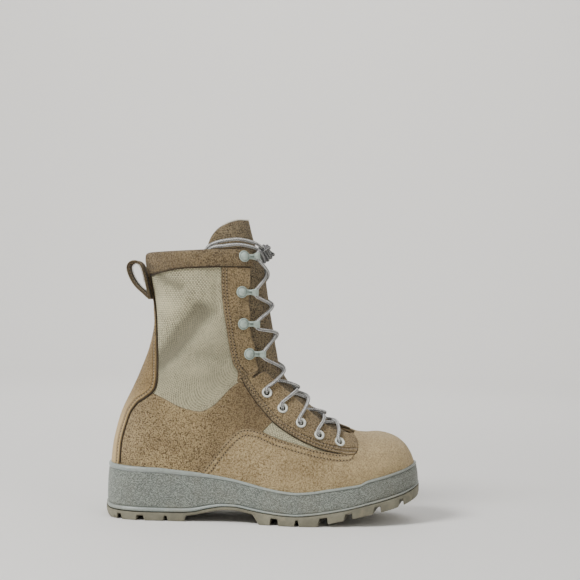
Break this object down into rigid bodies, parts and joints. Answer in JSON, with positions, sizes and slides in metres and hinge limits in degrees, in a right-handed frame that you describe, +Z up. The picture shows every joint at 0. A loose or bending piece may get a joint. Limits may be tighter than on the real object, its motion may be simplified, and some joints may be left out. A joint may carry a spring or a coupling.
{
  "type": "lace_up_combat_boot_right",
  "caption": "Lace-up combat boot that reaches well over the ankle, right foot, empty and standing on its lugged cup sole, with hooks, eyelets, a wide tongue and a pull loop at the heel.",
  "frame": {"origin": "Middle of the box around the boot, on the tread plane: half way from heel to toe and from side to side, z = 0 at the floor.", "axes": "+X runs from heel to toe, +Y to the inner side of the right foot, +Z up."},
  "size_m": [0.302, 0.1062, 0.2866],
  "materials": {
    "outsole_rubber": "matt olive-tan lugged tread rubber",
    "sidewall_rubber": "matt grey-green cup sole with a smooth paler rim",
    "footbed_fabric": "dark navy knitted cover",
    "suede": "worn tan suede with brown quarters and khaki twill panels",
    "tongue_suede": "brown suede outside, dark mesh inside",
    "strap_fabric": "dark olive woven strap",
    "lace_fabric": "round grey braid",
    "painted_fittings": "worn pale green-grey paint"
  },
  "bodies": {
    "root": {"outsole": "outsole_rubber", "midsole": "sidewall_rubber", "insole": "footbed_fabric", "upper": "suede", "tongue": "tongue_suede", "pull_loop": "strap_fabric", "eyelet_lateral_1": "painted_fittings", "eyelet_lateral_2": "painted_fittings", "eyelet_lateral_3": "painted_fittings", "eyelet_lateral_4": "painted_fittings", "eyelet_lateral_5": "painted_fittings", "eyelet_medial_1": "painted_fittings", "eyelet_medial_2": "painted_fittings", "eyelet_medial_3": "painted_fittings", "eyelet_medial_4": "painted_fittings", "eyelet_medial_5": "painted_fittings", "hook_lateral_1": "painted_fittings", "hook_lateral_2": "painted_fittings", "hook_lateral_3": "painted_fittings", "hook_lateral_4": "painted_fittings", "hook_medial_1": "painted_fittings", "hook_medial_2": "painted_fittings", "hook_medial_3": "painted_fittings", "hook_medial_4": "painted_fittings", "lace_crossings": "lace_fabric", "lace_knot": "lace_fabric", "lace_wrap_lower": "lace_fabric", "lace_wrap_upper": "lace_fabric"}
  },
  "joints": []
}
